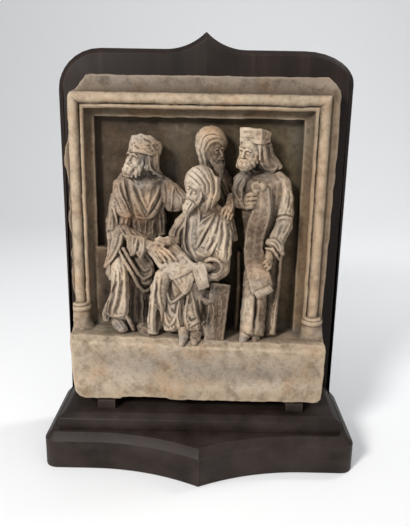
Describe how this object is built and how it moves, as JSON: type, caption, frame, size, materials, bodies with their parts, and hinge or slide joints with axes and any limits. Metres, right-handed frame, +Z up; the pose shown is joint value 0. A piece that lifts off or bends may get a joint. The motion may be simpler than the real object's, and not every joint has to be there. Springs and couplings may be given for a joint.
{
  "type": "limestone relief altarpiece on a wooden stand",
  "caption": "Carved limestone relief of robed, bearded figures with book and scroll in a moulded frame, standing on a dark wooden stand with an ogee-crested back board.",
  "frame": {"origin": "bottom centre of the whole stand's bounding box", "axes": "+Z up, +Y from the front to the back board, +X to the viewer's right when looking at the relief"},
  "size_m": [0.381, 0.161, 0.5196],
  "materials": {
    "limestone": "worn limestone with cream, grey and brown patina, dirt in the hollows and a little moss",
    "dark_wood": "dark stained and waxed wood, worn lighter along the edges"
  },
  "bodies": {
    "root": {"limestone_relief": "limestone", "back_board": "dark_wood", "base_plate": "dark_wood", "plinth_step": "dark_wood", "support_block_left": "dark_wood", "support_block_right": "dark_wood"}
  },
  "joints": []
}
